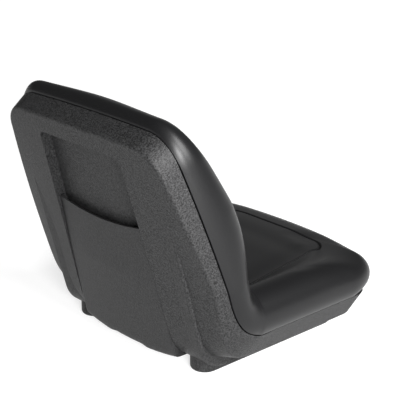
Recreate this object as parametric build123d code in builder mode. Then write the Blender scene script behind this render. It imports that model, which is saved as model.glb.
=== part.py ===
import os
from math import atan2, cos, pi, radians, sin, sqrt

from build123d import *

# Bucket seat of a garden machine, in millimetres.
# The origin is the middle of the bolt pattern, on the plane that the feet stand on.
# The sitter faces -Y, the back rises towards +Y, and X runs across the seat.

# Shell as seen from the side
recline = 13.8
back_foot_y = 191
back_foot_z = 60
heel_top = 100
heel_front = 95
floor_z = 8
back_end = 430
front_end = -250

# Shell as seen from the back
rim_half_width = 238
waist_slope = 0.1
waist_bend = 0.0003
draft_back = 7.5
draft_floor = 21

# How far the rim and the lower edge of the side wall stand in from the outer face
rim_height_heel = 50
rim_height_fall = 0.057
edge_height_heel = 31
edge_height_fall = 0.115
edge_height_least = 3
rim_height_floor = 69
edge_height_floor = 28

# How tightly each line turns at the heel
face_turn = 9
edge_turn = 5
rim_turn = 3

# Top and front walls of the shell
top_rim = 377
top_edge = 365
top_arch = 3600
top_corner = 58
front_rim = -200
front_edge = -172
front_bow = 1100
front_corner = 44
edge_round = 7
edge_round_inside = 4
wall = 3.6

# Recess in the back, and the panel that makes a pocket in it
recess_depth = 19
recess_top = 330
recess_half_top = 102
recess_spread = 0.05
recess_foot = -140
recess_reach = 78
recess_round = 12
recess_arch = 2
panel_depth = 8
panel_thickness = 3
panel_gap = 1.5
panel_top = 202
panel_dip = 10
panel_flange = 3

# Two low pads under the heel of the panel
pad_middle = 51
pad_width = 46
pad_length = 90
pad_rear = 168
pad_level = 10.5
pad_height = 12
pad_round = 5

# Bands down the back, and the feet under them
band_inside = 120
band_width = 62
band_top = 245
band_top_depth = 11
band_heel_depth = 16
band_heel_round = 56
band_bevel = 6
foot_middle = 147
foot_width = 50
foot_rear = 157
foot_front = -160
foot_height = 40
foot_round = 6

# Bolt pattern: two feet across, two bolts along each
bolt_spacing_x = 285.75
bolt_spacing_y = 203.2
bolt_bore = 6.7
insert_diameter = 12
insert_length = 15
boss_diameter = 22
boss_height = 20
boss_vent = 8

# Cushion
fit_gap = 0.6
shut_gap = 2
overlap = 6
roll_heel = 56
roll_back = 79
roll_seat = 69
roll_bulge = 7
dish_back = 24
dish_seat = 37
dish_nose = -6
cushion_top = 394
cushion_nose = -231
top_sag = 5
top_fade = 215
top_fade_past = 10
nose_fade = 135
nose_fade_past = 8
dish_fade_start = 30
dish_fade_top = 110
dish_fade_nose = 60
top_round = 95
nose_round = 80
nose_bow = 1300
side_slack = 12
nose_soften = 16
tuck_rise = 20
tuck_past = 6
seam_half = 150
seam_front = -160
seam_rear = 84
seam_corner = 34
seam_width = 4
seam_depth = 3

# How many planes shape each stretch, and sizes that only have to reach past the seat
back_steps = 11
heel_steps = 8
floor_steps = 11
loft_overrun = 4
clear_rise = 60
well_past = 900

sin_r = sin(radians(recline))
cos_r = cos(radians(recline))
back_inward = Vector(0, -cos_r, sin_r)
across = Vector(1, 0, 0)


def on_back(up, inward):
    """A point so far up the middle of the back, and so far in from its outer face."""
    return Vector(0, back_foot_y + up * sin_r - inward * cos_r, back_foot_z + up * cos_r + inward * sin_r)


# The planes of the heel all turn about one line in front of it
pivot_inward = (back_foot_y + heel_top * sin_r - heel_front) / cos_r
pivot = on_back(heel_top, pivot_inward)
pivot_height = pivot.Z - floor_z
back_turn = 90 - recline


def fade(distance, run, power):
    """Falls smoothly from one to nothing over the last run before an end, like a rounded corner."""
    near = min(max(1 - distance / run, 0), 1)
    return (1 - near ** power) ** (1 / power)


def heel_reach(angle, floor_reach, back_reach, power):
    """How far a rounded corner between floor and back lies from the pivot."""
    to_floor = floor_reach / max(cos(radians(angle)), 0.05)
    to_back = back_reach / max(cos(radians(back_turn - angle)), 0.05)
    return (to_floor ** -power + to_back ** -power) ** (-1 / power)


# Each station gives its middle, its inward direction, the rim and edge of the side wall,
# and then how high the cushion's roll and how deep its hollow are there.
def back_station(up):
    rim = rim_half_width - waist_slope * (up - heel_top) - waist_bend * (up - heel_top) ** 2
    rim_height = rim_height_heel - rim_height_fall * (up - heel_top)
    edge_height = max(edge_height_heel - edge_height_fall * (up - heel_top), edge_height_least)
    left = cushion_top + top_fade_past - up
    swell = sin(pi / 2 * min((up - heel_top) / heel_top, 1))
    roll = (roll_heel + (roll_back - roll_heel) * swell) * fade(left, top_fade, 2.1)
    hollow = dish_back * fade(left - dish_fade_start, dish_fade_top, 2)
    return on_back(up, 0), back_inward, rim, rim_height, rim - draft_back, edge_height, roll, hollow


def heel_station(angle):
    away = Vector(0, sin(radians(angle)), -cos(radians(angle)))
    face = heel_reach(angle, pivot_height, pivot_inward, face_turn)
    edge = heel_reach(angle, pivot_height - edge_height_floor, pivot_inward - edge_height_heel, edge_turn)
    rim = heel_reach(angle, pivot_height - rim_height_floor, pivot_inward - rim_height_heel, rim_turn)
    part_way = angle / back_turn
    edge_width = rim_half_width - draft_floor + (draft_floor - draft_back) * part_way
    roll = roll_seat + (roll_heel - roll_seat) * part_way
    hollow = dish_seat + (dish_back - dish_seat) * part_way
    return pivot + away * face, away * -1, rim_half_width, face - rim, edge_width, face - edge, roll, hollow


def floor_station(along):
    edge = rim_half_width - draft_floor
    left = along - cushion_nose + nose_fade_past
    roll = roll_seat * fade(left, nose_fade, 2.5)
    part_way = (along - cushion_nose) / (heel_front - cushion_nose)
    deep = max(dish_nose + (dish_seat - dish_nose) * part_way, 0)
    hollow = deep * fade(left - dish_fade_start, dish_fade_nose, 2)
    middle = Vector(0, along, floor_z)
    return middle, Vector(0, 0, 1), rim_half_width, rim_height_floor, edge, edge_height_floor, roll, hollow


def stations(top, front):
    """Stations down the back, round the heel and along the floor, about evenly spaced."""
    found = []
    for step in range(back_steps + 1):
        found.append(back_station(top + (heel_top - top) * step / back_steps))
    for step in range(1, heel_steps):
        found.append(heel_station(back_turn * (1 - step / heel_steps)))
    for step in range(floor_steps + 1):
        found.append(floor_station(heel_front + (front - heel_front) * step / floor_steps))
    return found


top_rim_point = on_back(top_rim, rim_height_heel - rim_height_fall * (top_rim - heel_top))
top_foot = on_back(top_edge, 0)
front_rim_point = Vector(0, front_rim, floor_z + rim_height_floor)
front_foot = Vector(0, front_edge, floor_z)
front_sag = rim_half_width ** 2 / (2 * front_bow)


def sleeve(inset, overrun):
    """The space inside the shell's outer face, drawn in by the inset, its rim raised by the overrun."""
    with BuildPart() as body:
        for origin, inward, rim, rim_height, edge, edge_height, _, _ in stations(back_end, front_end):
            length = sqrt((rim - edge) ** 2 + (rim_height - edge_height) ** 2)
            out = (rim - edge) / length
            rise = (rim_height - edge_height) / length
            lean = atan2(2 * edge_height, edge)
            share = inset / (1 + rise * sin(lean) + out * cos(lean))
            edge_x = edge - share * (rise + sin(lean))
            edge_y = edge_height + share * (out + cos(lean))
            rim_x = rim - inset * rise + overrun * out
            rim_y = rim_height + inset * out + overrun * rise
            with BuildSketch(Plane(origin, x_dir=across, z_dir=across.cross(inward))):
                with BuildLine():
                    Bezier((edge_x, edge_y), (0, 2 * inset - edge_y), (-edge_x, edge_y))
                    Polyline((-edge_x, edge_y), (-rim_x, rim_y), (rim_x, rim_y), (edge_x, edge_y))
                make_face()
        loft()
    return body.part


def tray(inset, overrun, round_over):
    """The sleeve with its top and front walls, rounded corners and rounded outer edge."""
    with BuildPart() as body:
        add(sleeve(inset, overrun))
        with BuildSketch(Plane(top_foot, x_dir=across, z_dir=top_rim_point - top_foot)):
            with Locations((0, -top_arch)):
                Circle(top_arch - inset)
        extrude(amount=well_past, both=True, mode=Mode.INTERSECT)
        with BuildSketch(Plane(front_foot, x_dir=across * -1, z_dir=front_rim_point - front_foot)):
            with Locations((0, -front_bow)):
                Circle(front_bow - inset)
        extrude(amount=well_past, both=True, mode=Mode.INTERSECT)
        top_half = across * back_station(top_rim)[2]
        top_middle = (top_rim_point + top_foot) * 0.5
        corners = [body.edges().sort_by_distance(top_middle + top_half * side)[0] for side in (-1, 1)]
        fillet(corners, radius=top_corner - inset)
        front_half = across * rim_half_width
        front_middle = (front_rim_point + front_foot) * 0.5 + Vector(0, front_sag, 0)
        corners = [body.edges().sort_by_distance(front_middle + front_half * side)[0] for side in (-1, 1)]
        fillet(corners, radius=front_corner - inset)
        face = body.faces().sort_by_distance(on_back(heel_top * 2, inset))[0]
        fillet(face.edges(), radius=round_over)
    return body.part


def recess_block(grow, top, dip, reach):
    """A block through the back in the shape of the recess, its top edge dipping in the middle."""
    def half(up):
        return recess_half_top + recess_spread * (recess_top - up) + grow

    with BuildPart() as body:
        with BuildSketch(Plane(on_back(0, -clear_rise), x_dir=across, z_dir=back_inward)):
            with BuildLine():
                ThreePointArc((half(top), top), (0, top - dip), (-half(top), top))
                Polyline((-half(top), top), (-half(recess_foot), recess_foot),
                         (half(recess_foot), recess_foot), (half(top), top))
            make_face()
        extrude(amount=clear_rise + reach)
    return body.part


def band(inset):
    """The raised band down one side of the back and round the heel, drawn in by the inset."""
    rear_top = on_back(band_top, band_top_depth)
    rear_low = on_back(0, band_heel_depth)
    run = (rear_top.Y - rear_low.Y) / (rear_top.Z - rear_low.Z)
    base = floor_z + wall
    rear_foot = rear_low.Y - run * (rear_low.Z - base)
    front = rear_low.Y - back_foot_z
    with BuildPart() as body:
        with BuildSketch(Plane((band_inside + inset, 0, 0), x_dir=(0, 1, 0), z_dir=(1, 0, 0))):
            with BuildLine():
                FilletPolyline((front, base), (rear_foot, base), (rear_top.Y, rear_top.Z), radius=band_heel_round)
                Polyline((rear_top.Y, rear_top.Z), (front, back_foot_z), (front, base))
            make_face()
            if inset:
                offset(amount=-inset, mode=Mode.REPLACE)
        extrude(amount=band_width - 2 * inset)
        if not inset:
            heel_edges = body.edges().filter_by(GeomType.CIRCLE)
            rear_edges = body.edges().filter_by(GeomType.LINE).sort_by(SortBy.LENGTH)[-4:]
            rear_edges = rear_edges.sort_by(Axis.Y)[-2:]
            fillet(heel_edges + rear_edges, radius=band_bevel)
    return body.part


def foot(inset):
    """One round-ended foot, drawn in by the inset."""
    width = foot_width - 2 * inset
    length = foot_rear - foot_front - 2 * inset
    middle = (foot_middle, (foot_rear + foot_front) / 2)
    with BuildPart() as body:
        with BuildSketch(Plane.XY.offset(inset)):
            with Locations(middle):
                SlotOverall(length, width, rotation=90)
        extrude(amount=foot_height - inset)
        if not inset:
            fillet(body.faces().sort_by(Axis.Z)[0].edges(), radius=foot_round)
    return body.part


os.makedirs("parts", exist_ok=True)

with BuildPart() as recess:
    add(recess_block(0, recess_top, -recess_arch, recess_reach))
    for side in (-1, 1):
        corner = on_back(recess_top, 0) + across * recess_half_top * side
        fillet(recess.edges().sort_by_distance(corner)[0], radius=recess_round)
    add(sleeve(recess_depth, clear_rise), mode=Mode.SUBTRACT)

with BuildPart() as recess_back:
    add(recess_block(wall, recess_top + wall, -recess_arch, recess_reach + wall))
    add(sleeve(recess_depth + wall, clear_rise), mode=Mode.SUBTRACT)

with BuildPart() as hollow:
    add(tray(wall, 2 * overlap, edge_round_inside))
    add(recess_back.part, mode=Mode.SUBTRACT)

with BuildPart() as seat_pan:
    add(tray(0, 0, edge_round))
    for piece in (band(0), foot(0)):
        add(piece)
        add(mirror(piece, about=Plane.YZ))
    add(hollow.part, mode=Mode.SUBTRACT)
    add(recess.part, mode=Mode.SUBTRACT)
    for piece in (band(wall), foot(wall)):
        add(piece, mode=Mode.SUBTRACT)
        add(mirror(piece, about=Plane.YZ), mode=Mode.SUBTRACT)
    standing = (Align.CENTER, Align.CENTER, Align.MIN)
    with GridLocations(bolt_spacing_x, bolt_spacing_y, 2, 2):
        Cylinder(boss_diameter / 2, boss_height, align=standing)
        Cylinder(insert_diameter / 2, insert_length, align=standing, mode=Mode.SUBTRACT)
        Cylinder(boss_vent / 2, boss_height, align=standing, mode=Mode.SUBTRACT)
seat_pan.part.label = "seat_pan"
export_step(seat_pan.part, "parts/seat_pan.step")

with BuildPart() as heel_pads:
    with BuildSketch(Plane.XY.offset(pad_level)):
        pad_along = pad_rear - pad_length / 2
        with Locations((pad_middle, pad_along), (-pad_middle, pad_along)):
            SlotOverall(pad_length, pad_width, rotation=90)
    extrude(amount=pad_height)
    soles = heel_pads.faces().sort_by(Axis.Z)[:2]
    fillet(soles.edges(), radius=pad_round)

with BuildPart() as pocket_panel:
    add(sleeve(panel_depth, clear_rise))
    add(heel_pads.part)
    add(recess_block(-panel_gap, panel_top, panel_dip, recess_reach - panel_gap), mode=Mode.INTERSECT)
    add(sleeve(recess_depth, clear_rise), mode=Mode.SUBTRACT)
    with BuildPart(mode=Mode.PRIVATE) as pocket:
        inset = panel_gap + panel_flange
        add(recess_block(-inset, recess_top, -recess_arch, recess_reach - inset))
        add(sleeve(panel_depth + panel_thickness, clear_rise), mode=Mode.INTERSECT)
    add(pocket.part, mode=Mode.SUBTRACT)
pocket_panel.part.label = "pocket_panel"
export_step(pocket_panel.part, "parts/pocket_panel.step")

with BuildPart() as mount_inserts:
    with GridLocations(bolt_spacing_x, bolt_spacing_y, 2, 2):
        Cylinder(insert_diameter / 2, insert_length, align=standing)
        Cylinder(bolt_bore / 2, insert_length, align=standing, mode=Mode.SUBTRACT)
mount_inserts.part.label = "mount_inserts"
export_step(mount_inserts.part, "parts/mount_inserts.step")

with BuildPart() as cushion:
    loft_ends = (cushion_top + loft_overrun, cushion_nose - loft_overrun)
    for origin, inward, rim, rim_height, _, _, roll, dish in stations(*loft_ends):
        half = rim + shut_gap
        low = rim_height + shut_gap
        right = [(half, low), (half + roll_bulge, low + 0.35 * roll), (half - 4, low + 0.75 * roll),
                 (half - 36, low + roll), (half - 70, low + roll - 0.5 * dish), (half - 100, low + roll - 0.92 * dish)]
        middle = (0, low + roll - dish)
        left = [(-x, y) for x, y in reversed(right)]
        with BuildSketch(Plane(origin, x_dir=across, z_dir=across.cross(inward))):
            with BuildLine():
                Spline(*right, middle, *left)
                Line(left[-1], right[0])
            make_face()
    loft()

    top_half = back_station(cushion_top)[2] + side_slack
    top_side = cushion_top - top_sag
    waist_half = back_station(heel_top * 3)[2] + side_slack
    with BuildSketch(Plane(on_back(0, 0), x_dir=across, z_dir=back_inward)) as back_outline:
        with BuildLine():
            ThreePointArc((top_half, top_side), (0, cushion_top), (-top_half, top_side))
            Polyline((-top_half, top_side), (-waist_half, heel_top * 3), (-well_past, heel_top),
                     (-well_past, -well_past), (well_past, -well_past), (well_past, heel_top),
                     (waist_half, heel_top * 3), (top_half, top_side))
        make_face()
        fillet(back_outline.vertices().sort_by(Axis.Y)[-2:], radius=top_round)
    extrude(amount=well_past, both=True, mode=Mode.INTERSECT)

    nose_half = rim_half_width + side_slack
    nose_side = cushion_nose + nose_half ** 2 / (2 * nose_bow)
    with BuildSketch() as seat_outline:
        with BuildLine():
            ThreePointArc((nose_half, nose_side), (0, cushion_nose), (-nose_half, nose_side))
            Polyline((-nose_half, nose_side), (-nose_half, well_past), (nose_half, well_past), (nose_half, nose_side))
        make_face()
        fillet(seat_outline.vertices().sort_by(Axis.Y)[:2], radius=nose_round)
    extrude(amount=well_past, both=True, mode=Mode.INTERSECT)

    with BuildSketch(Plane.YZ):
        back_level = back_station(top_rim)[3] + shut_gap
        tuck_start = on_back(top_rim + shut_gap, back_level)
        tuck_end = on_back(cushion_top + tuck_past, back_level + tuck_rise)
        tuck_under = on_back(cushion_top + tuck_past, back_level - tuck_rise)
        with BuildLine():
            Polyline((tuck_start.Y, tuck_start.Z), (tuck_end.Y, tuck_end.Z),
                     (tuck_under.Y, tuck_under.Z), (tuck_start.Y, tuck_start.Z))
        make_face()
        seat_level = floor_z + rim_height_floor
        nose_end = cushion_nose - tuck_past
        with BuildLine():
            Polyline((front_rim - shut_gap, seat_level), (nose_end, seat_level + shut_gap + tuck_rise),
                     (nose_end, seat_level), (front_rim - shut_gap, seat_level))
        make_face()
    extrude(amount=2 * rim_half_width, both=True, mode=Mode.SUBTRACT)

    nose_level = seat_level + roll_seat / 2
    nose_edges = cushion.edges().sort_by_distance((0, cushion_nose, nose_level))[:1]
    for side in (-1, 1):
        shoulder = (rim_half_width * side, front_rim + side_slack, seat_level + 0.7 * roll_seat)
        nose_edges += cushion.edges().sort_by_distance(shoulder)[:1]
    fillet(nose_edges, radius=nose_soften)

    with BuildPart(mode=Mode.PRIVATE) as seam:
        with BuildSketch():
            with Locations((0, seam_front)):
                RectangleRounded(2 * seam_half, 2 * (seam_rear - seam_front), seam_corner,
                                 align=(Align.CENTER, Align.MIN))
            offset(amount=-seam_width, mode=Mode.SUBTRACT)
            with Locations((0, seam_rear)):
                Rectangle(well_past, well_past, align=(Align.CENTER, Align.MIN), mode=Mode.SUBTRACT)
        extrude(amount=pivot.Z)
        add(cushion.part, mode=Mode.INTERSECT)
        add(cushion.part.moved(Location((0, 0, -seam_depth))), mode=Mode.SUBTRACT)
    add(seam.part, mode=Mode.SUBTRACT)

    add(tray(wall + fit_gap, overlap, edge_round_inside))
    with BuildPart(mode=Mode.PRIVATE) as keep_off:
        off = wall + fit_gap
        add(recess_block(off, recess_top + off, -recess_arch, recess_reach + off))
        add(sleeve(recess_depth + off, clear_rise), mode=Mode.SUBTRACT)
    add(keep_off.part, mode=Mode.SUBTRACT)
cushion.part.label = "cushion"
export_step(cushion.part, "parts/cushion.step")
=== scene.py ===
from bisect import bisect_right
from collections import namedtuple
from math import asin, atan, cos, exp, hypot, pi, radians, sin, sqrt

import bpy
from mathutils import Matrix, Vector


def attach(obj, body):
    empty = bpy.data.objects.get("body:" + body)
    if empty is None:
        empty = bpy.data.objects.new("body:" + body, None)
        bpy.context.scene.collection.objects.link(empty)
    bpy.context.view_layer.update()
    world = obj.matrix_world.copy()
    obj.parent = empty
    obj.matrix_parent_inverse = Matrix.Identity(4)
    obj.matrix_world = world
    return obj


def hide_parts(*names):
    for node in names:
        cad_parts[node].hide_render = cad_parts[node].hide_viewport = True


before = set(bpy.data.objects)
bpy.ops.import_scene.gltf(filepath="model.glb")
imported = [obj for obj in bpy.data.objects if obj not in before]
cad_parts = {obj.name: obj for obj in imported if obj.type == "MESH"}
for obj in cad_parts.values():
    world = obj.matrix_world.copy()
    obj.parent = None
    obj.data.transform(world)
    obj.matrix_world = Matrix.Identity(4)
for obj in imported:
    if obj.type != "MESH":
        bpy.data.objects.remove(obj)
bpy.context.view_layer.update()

MM = 0.001

# The shell's rim line, in millimetres, as the solids have it
RECLINE = radians(13.8)
BACK_FOOT_Y = 191
BACK_FOOT_Z = 60
HEEL_TOP = 100
HEEL_FRONT = 95
FLOOR_Z = 8
RIM_HALF = 238
WAIST_SLOPE = 0.1
WAIST_BEND = 0.0003
RIM_HEEL = 50
RIM_FALL = 0.057
RIM_FLOOR = 69
RIM_TURN = 3
TOP_RIM = 377
TOP_ARCH = 3600
FRONT_RIM = -200
FRONT_BOW = 1100
SHUT_GAP = 2

# How far the cushion's edge stands out past that line, and how far the line runs on past both ends
RIM_PAST = 2
PATH_SPARE = 60

# Keeps lines round the heel finite where they turn away from the floor or the back
LEAST_COSINE = 0.05

# The cushion's roll: how far it bulges out past its edge, and how far in from there its crest lies
BULGE_SIDE = 8
BULGE_TOP = 11
BULGE_NOSE = 21
ROLL_RUN_SIDE = 46
ROLL_RUN_TOP = 46
ROLL_RUN_NOSE = 54

# Its corners: their radius at the edge, how fast that grows inwards, and the share of the roll's
# height that is lost there. The nose's loss starts in the last of so many parts of the side, and
# ends in the first of so many parts of the nose.
CORNER_TOP = 58
CORNER_NOSE = 66
CORNER_TOP_GROWTH = 1.1
CORNER_NOSE_GROWTH = 1.1
CORNER_SINK_TOP = 0.14
CORNER_SINK_NOSE = 0.12
SINK_SIDE_PARTS = 8
SINK_NOSE_PARTS = 2

# Its height, which falls towards the top and the nose
ROLL_HEEL = 56
ROLL_BACK = 79
ROLL_SEAT = 69
ROLL_NOSE = 62
ROLL_FALL_START = 225
ROLL_FALL = 0.19
NOSE_FALL_START = -60
NOSE_FALL_RUN = 115

# Insets and heights of the points that turn its edge in under the rim line
EDGE_UNDER = ((14, -0.3), (7, -0.3), (2.5, -0.2))

# The hollow inside the roll, and the sunk seam round the seat panel
DISH_START = 36
DISH_RUN = 64
DISH_BACK = 24
DISH_SEAT = 37
DISH_NOSE = -6
CUSHION_TOP = 394
CUSHION_NOSE = -231
DISH_TOP_SPARE = 20
DISH_TOP_RUN = 110
SEAM_HALF = 150
SEAM_FRONT = -160
SEAM_REAR = 84
SEAM_CORNER = 34
SEAM_WIDTH = 1.7
SEAM_DEPTH = 3.6
SEAM_FADE = 10
SEAM_STEP = 0.7
SEAM_RINGS = 9
SEAT_CROWN = 2
SEAT_CROWN_RUN = 50

# The pocket panel, as its solid down to the heel, which is squarer here and has no separate pads
DRAFT_BACK = 7.5
EDGE_HEEL = 31
EDGE_FALL = 0.115
EDGE_LEAST = 3
FACE_TURN = 9
RECESS_TOP = 330
RECESS_HALF = 102
RECESS_SPREAD = 0.05
RECESS_DEPTH = 19
PANEL_TOP = 202
PANEL_DIP = 10
PANEL_GAP = 1.5
PANEL_DEPTH = 8
PANEL_DEPTH_HEEL = 2.5
PANEL_DEPTH_UNDER = 0.5
PANEL_WALL = 3
PANEL_EDGE = 1.2
PANEL_EDGE_PART = 0.3
PANEL_SEAT_GAP = 0.2
PANEL_TURN = 40
PANEL_END = radians(2.2)
HEEL_CROWN = 700
CHANNEL_HALF = 28
CHANNEL_FLANK = 24
CHANNEL_DEPTH = 4.5
CHANNEL_TOP = radians(34)
CHANNEL_FADE = radians(8)
PANEL_COLUMNS = 80
PANEL_BACK_ROWS = 40
PANEL_HEEL_ROWS = 100
SHARP_ANGLE = radians(40)

# How finely the rim line and the cushion are divided, and how often two searches are repeated
BACK_STEPS = 90
HEEL_STEPS = 50
SEAT_STEPS = 90
TOP_SAMPLES = 36
CORNER_SAMPLES = 24
SIDE_SAMPLES = 150
NOSE_SAMPLES = 40
ROLL_RINGS = 28
SLOPE_RINGS = 46
SEAT_RINGS = 12
ARCH_ROUNDS = 6
SEAM_HALVINGS = 24

SIN_R = sin(RECLINE)
COS_R = cos(RECLINE)
BACK_TURN = pi / 2 - RECLINE

# A place on the rim line, the way up off it, and half width, roll height and hollow depth there
RimRow = namedtuple("RimRow", "y z away_y away_z half roll dish")


def mix(a, b, share):
    return a + (b - a) * share


def smooth(share):
    share = min(max(share, 0), 1)
    return share * share * (3 - 2 * share)


def on_back(up, inward):
    """A point (y, z) so far up the back and so far in from its outer face."""
    y = BACK_FOOT_Y + up * SIN_R - inward * COS_R
    return y, BACK_FOOT_Z + up * COS_R + inward * SIN_R


PIVOT_IN = (BACK_FOOT_Y + HEEL_TOP * SIN_R - HEEL_FRONT) / COS_R
PIVOT_Y, PIVOT_Z = on_back(HEEL_TOP, PIVOT_IN)


def heel_line(angle, under, behind, turn):
    """How far from the heel's pivot a line lies that runs so far in from the floor and the back."""
    to_floor = (PIVOT_Z - FLOOR_Z - under) / max(cos(angle), LEAST_COSINE)
    to_back = (PIVOT_IN - behind) / max(cos(BACK_TURN - angle), LEAST_COSINE)
    return (to_floor ** -turn + to_back ** -turn) ** (-1 / turn)


def back_values(up):
    """Half width, roll height and hollow depth so far up the back."""
    past = up - HEEL_TOP
    half = RIM_HALF - WAIST_SLOPE * past - WAIST_BEND * past ** 2
    swell = sin(pi / 2 * min(past / HEEL_TOP, 1))
    roll = mix(ROLL_HEEL, ROLL_BACK, swell) - ROLL_FALL * max(up - ROLL_FALL_START, 0)
    near = min(max(1 - (CUSHION_TOP - DISH_TOP_SPARE - up) / DISH_TOP_RUN, 0), 1)
    return half, roll, DISH_BACK * sqrt(1 - near ** 2)


def seat_values(along):
    """Half width, roll height and hollow depth at a place along the seat."""
    roll = mix(ROLL_SEAT, ROLL_NOSE, smooth((NOSE_FALL_START - along) / NOSE_FALL_RUN))
    part = (along - CUSHION_NOSE) / (HEEL_FRONT - CUSHION_NOSE)
    return RIM_HALF, roll, max(mix(DISH_NOSE, DISH_SEAT, part), 0)


def rim_path():
    """The rim line's rows from past the top, down the back, round the heel and out past the nose."""
    rows = []
    for step in range(BACK_STEPS):
        up = mix(TOP_RIM + PATH_SPARE, HEEL_TOP, step / BACK_STEPS)
        place = on_back(up, RIM_HEEL - RIM_FALL * (up - HEEL_TOP) + SHUT_GAP)
        rows.append(RimRow(*place, -COS_R, SIN_R, *back_values(up)))
    for step in range(HEEL_STEPS):
        part = 1 - step / HEEL_STEPS
        angle = BACK_TURN * part
        reach = heel_line(angle, RIM_FLOOR, RIM_HEEL, RIM_TURN) - SHUT_GAP
        place = (PIVOT_Y + reach * sin(angle), PIVOT_Z - reach * cos(angle))
        shape = (RIM_HALF, mix(ROLL_SEAT, ROLL_HEEL, part), mix(DISH_SEAT, DISH_BACK, part))
        rows.append(RimRow(*place, -sin(angle), cos(angle), *shape))
    for step in range(SEAT_STEPS + 1):
        along = mix(HEEL_FRONT, FRONT_RIM - PATH_SPARE, step / SEAT_STEPS)
        place = (along, FLOOR_Z + RIM_FLOOR + SHUT_GAP)
        rows.append(RimRow(*place, 0, 1, *seat_values(along)))
    return rows


PATH = rim_path()
RUN = [0]
for first, second in zip(PATH, PATH[1:]):
    RUN.append(RUN[-1] + hypot(second.y - first.y, second.z - first.z))


def at_run(run):
    """The rim line's row at a length along it."""
    low = min(max(bisect_right(RUN, run) - 1, 0), len(RUN) - 2)
    part = (run - RUN[low]) / (RUN[low + 1] - RUN[low])
    return RimRow(*(mix(a, b, part) for a, b in zip(PATH[low], PATH[low + 1])))


SEAT_START = RUN[BACK_STEPS + HEEL_STEPS]


def seat_run(along):
    """The length along the rim line at a place along the seat."""
    return SEAT_START + HEEL_FRONT - along


TOP_RUN = RUN[0] + (PATH_SPARE - RIM_PAST) * hypot(1, RIM_FALL)
NOSE_RUN = seat_run(FRONT_RIM - RIM_PAST)
SEAM_MIDDLE = (seat_run(SEAM_FRONT) + seat_run(SEAM_REAR)) / 2
SEAM_LONG = (seat_run(SEAM_FRONT) - seat_run(SEAM_REAR)) / 2


def half_outline():
    """Places round one half of the outline, from the middle of the top to the middle of the nose."""
    stretches = (
        ("top", TOP_SAMPLES),
        ("top_corner", CORNER_SAMPLES),
        ("side", SIDE_SAMPLES),
        ("nose_corner", CORNER_SAMPLES),
        ("nose", NOSE_SAMPLES),
    )
    places = [(kind, i / count) for kind, count in stretches for i in range(count)]
    return places + [("nose", 1)]


PLACES = half_outline()


def half_width(run, inset):
    """Half the cushion's width at a length along the rim line, drawn in by the inset."""
    return at_run(run).half + RIM_PAST - inset


def arch_end(half, corner, arch):
    """Where an arch across the seat runs into its corner: how far out, and how far it has turned."""
    flat = half - corner
    for _ in range(ARCH_ROUNDS):
        turn = atan(flat / arch)
        flat = half - corner * (1 - sin(turn))
    return flat, turn


def plan_point(place, inset):
    """Where the outline, drawn in by the inset, passes a place: x and the run along the rim line."""
    kind, share = place
    # Outside the edge the corners stay parallel to it
    top_round = CORNER_TOP + (CORNER_TOP_GROWTH if inset > 0 else -1) * inset
    nose_round = CORNER_NOSE + (CORNER_NOSE_GROWTH if inset > 0 else -1) * inset
    top = TOP_RUN + inset
    nose = NOSE_RUN - inset
    top_half = half_width(top + top_round, inset)
    top_flat, top_turn = arch_end(top_half, top_round, TOP_ARCH)
    nose_flat, nose_turn = arch_end(half_width(nose - nose_round, inset), nose_round, FRONT_BOW)
    top_sag = top_flat ** 2 / (2 * TOP_ARCH)
    nose_sag = nose_flat ** 2 / (2 * FRONT_BOW)
    if kind == "top":
        return top_flat * share, top + top_sag * share ** 2
    if kind == "nose":
        return nose_flat * (1 - share), nose - nose_sag * (1 - share) ** 2
    if kind == "top_corner":
        angle = mix(top_turn, pi / 2, share)
        run = top + top_sag + top_round * (cos(top_turn) - cos(angle))
        widen = half_width(run, inset) - top_half
        return top_flat + top_round * (sin(angle) - sin(top_turn)) + widen * share, run
    if kind == "nose_corner":
        angle = mix(pi / 2, nose_turn, share)
        run = nose - nose_sag - nose_round * (cos(nose_turn) - cos(angle))
        return nose_flat + nose_round * (sin(angle) - sin(nose_turn)), run
    side_start = top + top_sag + top_round * cos(top_turn)
    side_end = nose - nose_sag - nose_round * cos(nose_turn)
    run = mix(side_start, side_end, share)
    return half_width(run, inset), run


def roll_shape(place):
    """How far the roll bulges out at a place, how far in it runs, and how much a corner sinks it."""
    kind, share = place
    part = smooth(share)
    if kind == "top":
        return BULGE_TOP, ROLL_RUN_TOP, CORNER_SINK_TOP * part
    if kind == "nose":
        sink = CORNER_SINK_NOSE * smooth(1 - SINK_NOSE_PARTS * share) / 2
        return BULGE_NOSE, ROLL_RUN_NOSE, sink
    if kind == "top_corner":
        bulge = mix(BULGE_TOP, BULGE_SIDE, part)
        return bulge, mix(ROLL_RUN_TOP, ROLL_RUN_SIDE, part), CORNER_SINK_TOP * (1 - part)
    if kind == "nose_corner":
        bulge = mix(BULGE_SIDE, BULGE_NOSE, part)
        sink = CORNER_SINK_NOSE * (1 + sin(pi * share) ** 2) / 2 * (1 + part) / 2
        return bulge, mix(ROLL_RUN_SIDE, ROLL_RUN_NOSE, part), sink
    sink = CORNER_SINK_NOSE * smooth(1 - SINK_SIDE_PARTS * (1 - share)) / 4
    return BULGE_SIDE, ROLL_RUN_SIDE, sink


def lift(x, run, height):
    """A point in metres, so high off the rim line."""
    row = at_run(run)
    return Vector((x, row.y + row.away_y * height, row.z + row.away_z * height)) * MM


def roll_point(place, share):
    """A point on the roll, from the rim over the bulge to the crest."""
    bulge, reach, sink = roll_shape(place)
    low = sqrt(1 - (1 - bulge / reach) ** 2)
    angle = mix(-asin(low), pi / 2, share)
    x, run = plan_point(place, reach - bulge - reach * cos(angle))
    tall = at_run(run).roll * (1 - sink) / (1 + low)
    return lift(x, run, tall * (low + sin(angle)))


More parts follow.
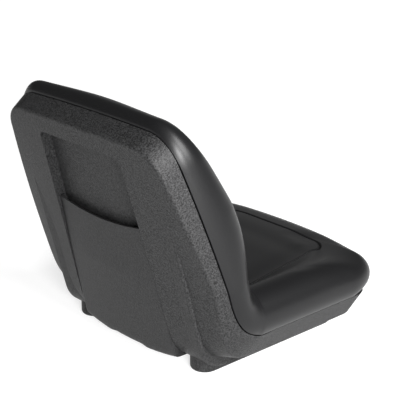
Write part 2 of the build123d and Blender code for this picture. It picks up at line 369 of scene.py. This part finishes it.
def rim_inset(x, run):
    """How far a place lies in from the cushion's edge, with the corners taken wide."""
    side = half_width(run, abs(x))
    top = run - TOP_RUN - x ** 2 / (2 * TOP_ARCH)
    nose = NOSE_RUN - run - x ** 2 / (2 * FRONT_BOW)
    end = min(top, nose)
    round_in = 2 * CORNER_TOP
    if side < round_in and end < round_in:
        return round_in - hypot(round_in - side, round_in - end)
    return min(side, end)


def seam_outside(x, run):
    """How far a place lies outside the seat panel's seam, less than nothing inside it."""
    over_x = abs(x) - SEAM_HALF + SEAM_CORNER
    over_y = abs(run - SEAM_MIDDLE) - SEAM_LONG + SEAM_CORNER
    return hypot(max(over_x, 0), max(over_y, 0)) + min(max(over_x, over_y), 0) - SEAM_CORNER


def skin_point(x, run, sink):
    """A point on the cushion's skin inside the crest of its roll."""
    row = at_run(run)
    inward = smooth((rim_inset(x, run) - DISH_START) / DISH_RUN)
    outside = seam_outside(x, run)
    crown = SEAT_CROWN * smooth(-outside / SEAT_CROWN_RUN)
    on_seam = smooth((run - seat_run(SEAM_REAR)) / SEAM_FADE)
    groove = SEAM_DEPTH * exp(-(outside / SEAM_WIDTH) ** 2) * on_seam
    sunk_roll = row.roll * (1 - sink * (1 - smooth(inward * 2)))
    return lift(x, run, sunk_roll - row.dish * inward + crown - groove)


def seam_share(x, run, outside):
    """How far out from the seat panel's middle to a place the seam, grown by so much, is met."""
    low, high = 0, 1
    for _ in range(SEAM_HALVINGS):
        share = (low + high) / 2
        if seam_outside(x * share, mix(SEAM_MIDDLE, run, share)) < outside:
            low = share
        else:
            high = share
    return low


def cushion_column(place):
    """The skin's points at one place of the outline, from under the edge to near the panel's middle."""
    under = [lift(*plan_point(place, inset), height) for inset, height in EDGE_UNDER]
    roll = [roll_point(place, step / ROLL_RINGS) for step in range(ROLL_RINGS + 1)]
    bulge, reach, sink = roll_shape(place)
    crest_x, crest_run = plan_point(place, reach - bulge)
    seam_reach = SEAM_STEP * SEAM_RINGS
    outer = seam_share(crest_x, crest_run, seam_reach)
    inner = seam_share(crest_x, crest_run, -seam_reach)
    shares = [mix(1, outer, step / SLOPE_RINGS) for step in range(1, SLOPE_RINGS)]
    for ring in range(SEAM_RINGS, -SEAM_RINGS - 1, -1):
        shares.append(seam_share(crest_x, crest_run, SEAM_STEP * ring))
    shares += [inner * (1 - step / SEAT_RINGS) for step in range(1, SEAT_RINGS)]
    skin = []
    for share in shares:
        skin.append(skin_point(crest_x * share, mix(SEAM_MIDDLE, crest_run, share), sink))
    return under + roll + skin


def ring_faces(rings, around):
    """The faces that join rings of points, one after the other, each as many points around."""
    faces = []
    for ring in range(rings - 1):
        here = ring * around
        there = here + around
        for i in range(around):
            j = (i + 1) % around
            faces.append((here + i, here + j, there + j, there + i))
    return faces


def cushion_mesh():
    """Points and faces of the whole cushion: one half's columns, mirrored, with both ends closed."""
    half = [cushion_column(place) for place in PLACES]
    columns = list(half)
    for column in reversed(half[1:-1]):
        columns.append([Vector((-p.x, p.y, p.z)) for p in column])
    around = len(columns)
    rings = len(half[0])
    points = [columns[i][ring] for ring in range(rings) for i in range(around)]
    faces = ring_faces(rings, around)
    points.append(skin_point(0, SEAM_MIDDLE, 0))
    last = (rings - 1) * around
    for i in range(around):
        faces.append((last + i, last + (i + 1) % around, len(points) - 1))
    faces.append((0, around - 1, 1))
    for i in range(1, len(half) - 2):
        faces.append((i, around - i, around - i - 1, i + 1))
    faces.append((len(half) - 2, len(half), len(half) - 1))
    return points, faces


def panel_half(up):
    """Half the panel's width so far up the back."""
    return RECESS_HALF + RECESS_SPREAD * (RECESS_TOP - up) - PANEL_GAP


def panel_point(column, row, wall):
    """A point of the panel, or of its inner face a wall behind it.

    A column is a share of the half width and a drop at the rounded edge, or no drop for a foot in
    the recess. Row 0 is the lip, 1 the top of the heel and 2 the end under the seat.
    """
    share, drop = column
    up = mix(PANEL_TOP - PANEL_DIP * (1 - share ** 2), HEEL_TOP, min(row, 1))
    edge = max(EDGE_HEEL - EDGE_FALL * (up - HEEL_TOP), EDGE_LEAST)
    part_up = (up - HEEL_TOP) / (PANEL_TOP - HEEL_TOP)
    if drop is None:
        behind = RECESS_DEPTH - PANEL_SEAT_GAP
    else:
        behind = mix(PANEL_DEPTH_HEEL, PANEL_DEPTH, part_up) + wall + drop
    face_half = back_values(up)[0] - DRAFT_BACK
    behind += max(edge - behind, 0) * (share * panel_half(up) / face_half) ** 2
    if row <= 1:
        return Vector((share * (panel_half(up) - wall), *on_back(up, behind))) * MM
    angle = mix(BACK_TURN, PANEL_END, row - 1)
    x = share * panel_half(0)
    if drop is None:
        reach = heel_line(angle, behind, behind, FACE_TURN)
    else:
        on_flank = smooth((CHANNEL_HALF + CHANNEL_FLANK - abs(x)) / CHANNEL_FLANK)
        channel = CHANNEL_DEPTH * on_flank * smooth((CHANNEL_TOP - angle) / CHANNEL_FADE)
        under = PANEL_DEPTH_UNDER + wall + drop + x ** 2 / (2 * HEEL_CROWN) + channel
        reach = heel_line(angle, under, behind, PANEL_TURN)
    y = PIVOT_Y + reach * sin(angle)
    z = PIVOT_Z - reach * cos(angle)
    up = (y - BACK_FOOT_Y) * SIN_R + (z - BACK_FOOT_Z) * COS_R
    return Vector((share * (panel_half(up) - wall), y, z)) * MM


def panel_mesh():
    """Points and faces of the panel: a closed shell with an outer face, two feet and an inner face."""
    edge = PANEL_EDGE / RECESS_HALF
    edge_middle = (-1 + PANEL_EDGE_PART * edge, PANEL_EDGE_PART * PANEL_EDGE)
    side = [(-1, None), (-1, PANEL_EDGE), edge_middle]
    columns = list(side)
    for i in range(PANEL_COLUMNS + 1):
        columns.append((mix(-1 + edge, 1 - edge, i / PANEL_COLUMNS), 0))
    columns += [(-share, drop) for share, drop in reversed(side)]
    rows = [i / PANEL_BACK_ROWS for i in range(PANEL_BACK_ROWS)]
    rows += [1 + i / PANEL_HEEL_ROWS for i in range(PANEL_HEEL_ROWS + 1)]
    around = 2 * len(columns)
    points = []
    for row in rows:
        points += [panel_point(column, row, 0) for column in columns]
        points += [panel_point(column, row, PANEL_WALL) for column in reversed(columns)]
    faces = ring_faces(len(rows), around)
    last = (len(rows) - 1) * around
    for i in range(len(columns) - 1):
        j = around - 1 - i
        faces.append((i + 1, i, j, j - 1))
        faces.append((last + i, last + i + 1, last + j - 1, last + j))
    return points, faces


def mesh_object(name, points, faces, material):
    """A smooth-shaded object, with edges kept sharp where its faces meet at a sharp angle."""
    mesh = bpy.data.meshes.new(name)
    mesh.from_pydata(points, [], faces)
    mesh.validate()
    for polygon in mesh.polygons:
        polygon.use_smooth = True
    mesh.materials.append(material)
    mesh.set_sharp_from_angle(angle=SHARP_ANGLE)
    mesh.update()
    obj = bpy.data.objects.new(name, mesh)
    bpy.context.scene.collection.objects.link(obj)
    return obj


# Grain detail, where the speckle's two greys lie on its noise, and the solid part of the rub mark
GRAIN_DETAIL = 2
SPECKLE_RANGE = (0.35, 0.65)
SCUFF_CORE = 0.4


def new_material(name, colour, roughness, specular):
    """A plain material with the usual shader."""
    material = bpy.data.materials.new(name)
    material.use_nodes = True
    shader = material.node_tree.nodes["Principled BSDF"]
    shader.inputs["Base Color"].default_value = (*colour, 1)
    shader.inputs["Roughness"].default_value = roughness
    shader.inputs["Specular IOR Level"].default_value = specular
    return material


def add_grain(material, size, depth, strength):
    """A moulded grain of about the given size and depth in metres. Gives back its noise."""
    nodes = material.node_tree.nodes
    links = material.node_tree.links
    place = nodes.new("ShaderNodeTexCoord")
    cells = nodes.new("ShaderNodeTexVoronoi")
    cells.inputs["Scale"].default_value = 1 / size
    noise = nodes.new("ShaderNodeTexNoise")
    noise.inputs["Scale"].default_value = 1 / size
    noise.inputs["Detail"].default_value = GRAIN_DETAIL
    both = nodes.new("ShaderNodeMath")
    both.operation = "ADD"
    bump = nodes.new("ShaderNodeBump")
    bump.inputs["Strength"].default_value = strength
    bump.inputs["Distance"].default_value = depth
    links.new(place.outputs["Object"], cells.inputs["Vector"])
    links.new(place.outputs["Object"], noise.inputs["Vector"])
    links.new(cells.outputs["Distance"], both.inputs[0])
    links.new(noise.outputs["Fac"], both.inputs[1])
    links.new(both.outputs["Value"], bump.inputs["Height"])
    links.new(bump.outputs["Normal"], nodes["Principled BSDF"].inputs["Normal"])
    return noise


def add_speckle(material, noise, dark, light):
    """Lets the grain's tops show a little lighter than its pits."""
    nodes = material.node_tree.nodes
    ramp = nodes.new("ShaderNodeValToRGB")
    ends = ramp.color_ramp.elements
    for end, position, colour in zip(ends, SPECKLE_RANGE, (dark, light)):
        end.position = position
        end.color = (*colour, 1)
    links = material.node_tree.links
    links.new(noise.outputs["Fac"], ramp.inputs["Fac"])
    links.new(ramp.outputs["Color"], nodes["Principled BSDF"].inputs["Base Color"])


def by_distance(material, place, start, end):
    """A map from 0 to 1 between two distances from a place, in metres."""
    nodes = material.node_tree.nodes
    links = material.node_tree.links
    where = nodes.new("ShaderNodeTexCoord")
    apart = nodes.new("ShaderNodeVectorMath")
    apart.operation = "DISTANCE"
    apart.inputs[1].default_value = place
    near = nodes.new("ShaderNodeMapRange")
    near.inputs["From Min"].default_value = start
    near.inputs["From Max"].default_value = end
    links.new(where.outputs["Object"], apart.inputs[0])
    links.new(apart.outputs["Value"], near.inputs["Value"])
    return near


def add_scuff(material, place, size, colour):
    """A small dark rub mark round a place on the shell."""
    nodes = material.node_tree.nodes
    links = material.node_tree.links
    shader = nodes["Principled BSDF"]
    plain = shader.inputs["Base Color"].links[0].from_socket
    near = by_distance(material, place, size, SCUFF_CORE * size)
    marked = nodes.new("ShaderNodeMix")
    marked.data_type = "RGBA"
    marked.inputs["B"].default_value = (*colour, 1)
    links.new(near.outputs["Result"], marked.inputs["Factor"])
    links.new(plain, marked.inputs["A"])
    links.new(marked.outputs["Result"], shader.inputs["Base Color"])


BLACK_PLASTIC = (0.012, 0.012, 0.0125)
pan_plastic = new_material("pan_plastic", BLACK_PLASTIC, roughness=0.52, specular=0.2)
pan_noise = add_grain(pan_plastic, size=0.0024, depth=0.0006, strength=0.7)
add_speckle(pan_plastic, pan_noise, dark=(0.003, 0.003, 0.0031), light=(0.024, 0.024, 0.0245))
SCUFF_PLACE = (-0.2302, 0.1872, 0.1948)
add_scuff(pan_plastic, SCUFF_PLACE, size=0.004, colour=(0.002, 0.002, 0.002))
panel_plastic = new_material("panel_plastic", BLACK_PLASTIC, roughness=0.5, specular=0.2)
panel_noise = add_grain(panel_plastic, size=0.0024, depth=0.0005, strength=0.5)
add_speckle(panel_plastic, panel_noise, dark=(0.006, 0.006, 0.0062), light=(0.019, 0.019, 0.0195))
vinyl = new_material("vinyl", (0.004, 0.004, 0.0043), roughness=0.38, specular=0.24)
add_grain(vinyl, size=0.0012, depth=0.0002, strength=0.15)
brass = new_material("insert_brass", (0.62, 0.47, 0.2), roughness=0.3, specular=0.5)
brass.node_tree.nodes["Principled BSDF"].inputs["Metallic"].default_value = 1

for node, material in (("seat_pan", pan_plastic), ("mount_inserts", brass)):
    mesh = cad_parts[node].data
    mesh.materials.clear()
    mesh.materials.append(material)

cushion = mesh_object("cushion_skin", *cushion_mesh(), vinyl)
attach(cushion, "root")
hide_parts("cushion")

panel = mesh_object("panel_skin", *panel_mesh(), panel_plastic)
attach(panel, "root")
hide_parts("pocket_panel")

# The floor, which glows a little more where the lamps no longer reach it
FLOOR_SIZE = 120
FLOOR_DROP = 0.0005
FLOOR_NEAR = 0.8
FLOOR_FAR = 3
GLOW_NEAR = 0.72
GLOW_FAR = 0.95

floor_material = new_material("floor", (0.4, 0.4, 0.4), roughness=0.9, specular=0.1)
floor_shader = floor_material.node_tree.nodes["Principled BSDF"]
floor_shader.inputs["Emission Color"].default_value = (1, 1, 1, 1)
floor_glow = by_distance(floor_material, (0, 0, 0), FLOOR_NEAR, FLOOR_FAR)
floor_glow.inputs["To Min"].default_value = GLOW_NEAR
floor_glow.inputs["To Max"].default_value = GLOW_FAR
floor_strength = floor_shader.inputs["Emission Strength"]
floor_material.node_tree.links.new(floor_glow.outputs["Result"], floor_strength)
bpy.ops.mesh.primitive_plane_add(size=FLOOR_SIZE, location=(0, 0, -FLOOR_DROP))
floor = bpy.context.object
floor.name = "floor"
floor.data.materials.append(floor_material)

# A dim sky and three soft lamps
SKY_STRENGTH = 0.15

world = bpy.data.worlds.new("studio")
world.use_nodes = True
sky = world.node_tree.nodes["Background"]
sky.inputs["Color"].default_value = (1, 1, 1, 1)
sky.inputs["Strength"].default_value = SKY_STRENGTH
bpy.context.scene.world = world


def soft_light(name, place, target, size, power):
    """A round lamp that looks at its target, with its size in metres and its power in watts."""
    lamp = bpy.data.lights.new(name, "AREA")
    lamp.shape = "DISK"
    lamp.size = size
    lamp.energy = power
    obj = bpy.data.objects.new(name, lamp)
    obj.location = place
    look = Vector(target) - Vector(place)
    obj.rotation_euler = look.to_track_quat("-Z", "Y").to_euler()
    bpy.context.scene.collection.objects.link(obj)


soft_light("key", place=(-2.2, 0.1, 1.7), target=(0, 0, 0.2), size=1.6, power=145)
soft_light("side", place=(-2.2, 1.4, 0.9), target=(0, 0.2, 0.35), size=0.8, power=135)
soft_light("front", place=(1.6, -1.7, 1.2), target=(0, 0, 0.1), size=1.4, power=1.5)

# The camera stands where the photograph was taken from, behind the seat and to its right
SENSOR = 36
LENS = 112.5
VIEW_END = 50
CAMERA_PLACE = (-1.5704, 1.4342, 1.0004)
CAMERA_RIGHT = (-0.6769, -0.7361, 0)
CAMERA_UP = (0.2572, -0.2365, 0.937)
CAMERA_BACK = (-0.6897, 0.6343, 0.3494)

camera_data = bpy.data.cameras.new("camera")
camera_data.sensor_fit = "HORIZONTAL"
camera_data.sensor_width = SENSOR
camera_data.lens = LENS
camera_data.clip_end = VIEW_END
camera = bpy.data.objects.new("camera", camera_data)
turn = Matrix((CAMERA_RIGHT, CAMERA_UP, CAMERA_BACK)).transposed().to_4x4()
camera.matrix_world = Matrix.Translation(CAMERA_PLACE) @ turn
bpy.context.scene.collection.objects.link(camera)
bpy.context.scene.camera = camera
bpy.context.scene.view_settings.view_transform = "Standard"
